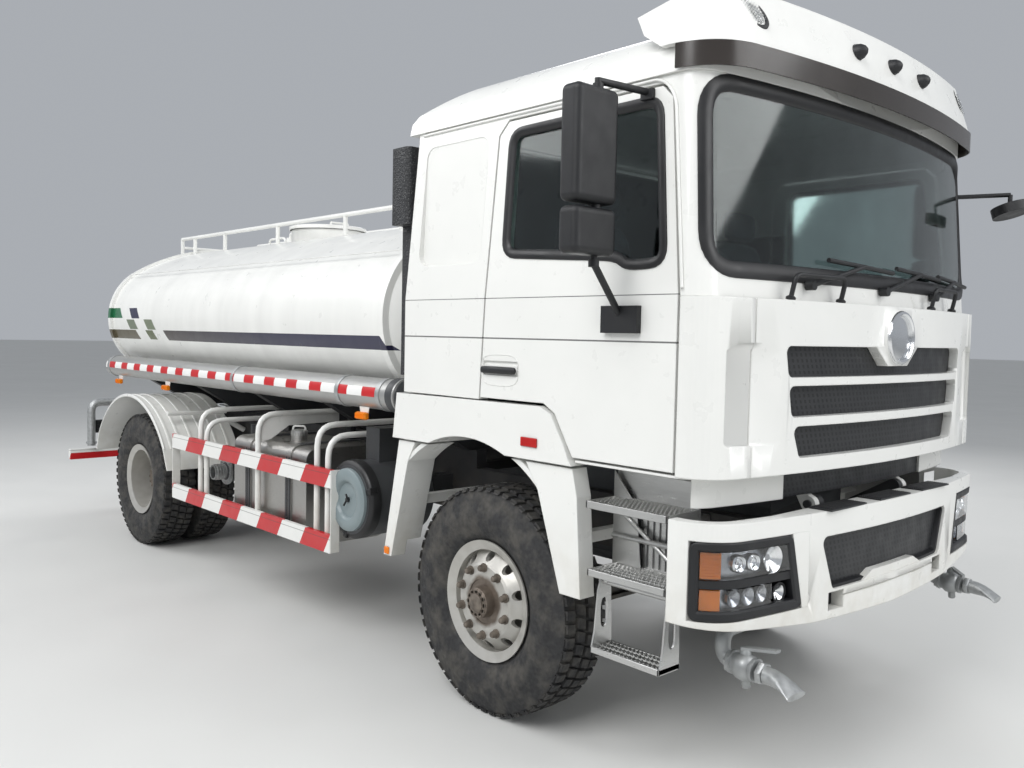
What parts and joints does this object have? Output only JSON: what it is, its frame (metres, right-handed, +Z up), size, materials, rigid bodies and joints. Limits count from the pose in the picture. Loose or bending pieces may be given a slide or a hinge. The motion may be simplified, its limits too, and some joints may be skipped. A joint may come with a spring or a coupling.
{
  "type": "tanker truck",
  "caption": "Forward-control two-axle water tanker with tilting sleeper cab, oval flanged tank, hose tubes, top rails, rear ladder, side guards and front spray nozzles.",
  "frame": {"origin": "on the ground under the middle of the overall length and width", "axes": "X forward along the vehicle, Y to the vehicle's left, Z up"},
  "size_m": [7.8993, 3.235, 3.2218],
  "materials": {
    "cab_paint": "gloss",
    "tank_paint": "satin",
    "chassis_paint": "matte",
    "machined_steel": "oiled",
    "spring_steel": "matte",
    "cast_block": "rough",
    "rim_paint": "satin",
    "tyre_rubber": "matte",
    "black_plastic": "matte",
    "cab_plastic": "gloss",
    "screen_glass": "clear",
    "smoked_strip": "smoked",
    "lamp_lens": "clear",
    "aluminium": "brushed",
    "galvanised": "dull",
    "seat_fabric": "woven",
    "trim_grey": "matte",
    "drum_grey": "satin",
    "guard_paint": "gloss",
    "tube_white": "satin"
  },
  "bodies": {
    "chassis": {"chassis_frame": "chassis_paint", "engine_block": "cast_block", "drive_shaft": "machined_steel", "front_axle": "chassis_paint", "rear_axle": "chassis_paint", "leaf_springs": "spring_steel", "front_bumper": "cab_paint", "bumper_grille": "black_plastic", "lamps": "lamp_lens", "fender_legs": "cab_plastic", "entry_steps": "aluminium", "fuel_tank": "aluminium", "battery_carrier": "black_plastic", "air_cleaner": "drum_grey", "silencer": "galvanised", "tank_body": "tank_paint", "tank_sills": "chassis_paint", "tank_saddles": "chassis_paint", "cross_members": "chassis_paint", "hose_tubes": "tube_white", "tank_fittings": "tank_paint", "guard_boards": "guard_paint", "guard_posts": "guard_paint", "rear_fenders": "cab_plastic", "spray_gear": "galvanised"},
    "cab": {"cab_shell": "cab_paint", "cab_roof": "cab_plastic", "windscreen": "screen_glass", "front_panel": "cab_paint", "front_grille": "black_plastic", "corner_panels": "cab_plastic", "sun_visor": "cab_plastic", "visor_strip": "smoked_strip", "wipers": "black_plastic", "seats": "seat_fabric", "dashboard": "trim_grey", "cab_fenders": "cab_plastic", "snorkel": "black_plastic", "kerb_mirror": "black_plastic"},
    "door_right": {"door_right": "cab_paint", "door_glass_right": "screen_glass", "mirrors_right": "black_plastic"},
    "knuckle_right": {"knuckle_right": "machined_steel"},
    "front_wheel_right": {"front_tyre_right": "tyre_rubber", "front_rim_right": "rim_paint"},
    "rear_wheels_right": {"rear_tyres_right": "tyre_rubber", "rear_rims_right": "rim_paint"},
    "door_left": {"door_left": "cab_paint", "door_glass_left": "screen_glass", "mirrors_left": "black_plastic"},
    "knuckle_left": {"knuckle_left": "machined_steel"},
    "front_wheel_left": {"front_tyre_left": "tyre_rubber", "front_rim_left": "rim_paint"},
    "rear_wheels_left": {"rear_tyres_left": "tyre_rubber", "rear_rims_left": "rim_paint"},
    "tie_rod": {"tie_rod": "machined_steel"},
    "manhole_lid": {"manhole_lid": "tank_paint"}
  },
  "joints": [
    {"name": "steer_right", "type": "hinge", "parent": "chassis", "child": "knuckle_right", "pos_m": [2.35, -0.9, 0.5625], "axis": [0, 0, 1], "range_deg": [-35, 35]},
    {"name": "front_roll_right", "type": "hinge", "parent": "knuckle_right", "child": "front_wheel_right", "pos_m": [2.35, -1.032, 0.5625], "axis": [0, 1, 0], "continuous": true},
    {"name": "rear_roll_right", "type": "hinge", "parent": "chassis", "child": "rear_wheels_right", "pos_m": [-2.25, -0.828, 0.5625], "axis": [0, 1, 0], "continuous": true},
    {"name": "door_hinge_right", "type": "hinge", "parent": "cab", "child": "door_right", "pos_m": [3.532, -1.245, 1.9], "axis": [0, 0, 1], "range_deg": [0, 70]},
    {"name": "steer_left", "type": "hinge", "parent": "chassis", "child": "knuckle_left", "pos_m": [2.35, 0.9, 0.5625], "axis": [0, 0, 1], "range_deg": [-35, 35]},
    {"name": "front_roll_left", "type": "hinge", "parent": "knuckle_left", "child": "front_wheel_left", "pos_m": [2.35, 1.032, 0.5625], "axis": [0, 1, 0], "continuous": true},
    {"name": "rear_roll_left", "type": "hinge", "parent": "chassis", "child": "rear_wheels_left", "pos_m": [-2.25, 0.828, 0.5625], "axis": [0, 1, 0], "continuous": true},
    {"name": "door_hinge_left", "type": "hinge", "parent": "cab", "child": "door_left", "pos_m": [3.532, 1.245, 1.9], "axis": [0, 0, -1], "range_deg": [0, 70]},
    {"name": "tie_rod_pivot", "type": "hinge", "parent": "knuckle_right", "child": "tie_rod", "pos_m": [2.2, -0.9, 0.4205], "axis": [0, 0, 1], "range_deg": [-35, 35]},
    {"name": "cab_tilt", "type": "hinge", "parent": "chassis", "child": "cab", "pos_m": [3.65, 0, 1.16], "axis": [0, 1, 0], "range_deg": [0, 45]},
    {"name": "manhole_hinge", "type": "hinge", "parent": "chassis", "child": "manhole_lid", "pos_m": [-1.42, 0, 2.716], "axis": [0, -1, 0], "range_deg": [0, 110]}
  ],
  "couplings": [
    {"joint": "steer_left", "follows": "steer_right", "ratio": 1},
    {"joint": "tie_rod_pivot", "follows": "steer_right", "ratio": -1}
  ]
}
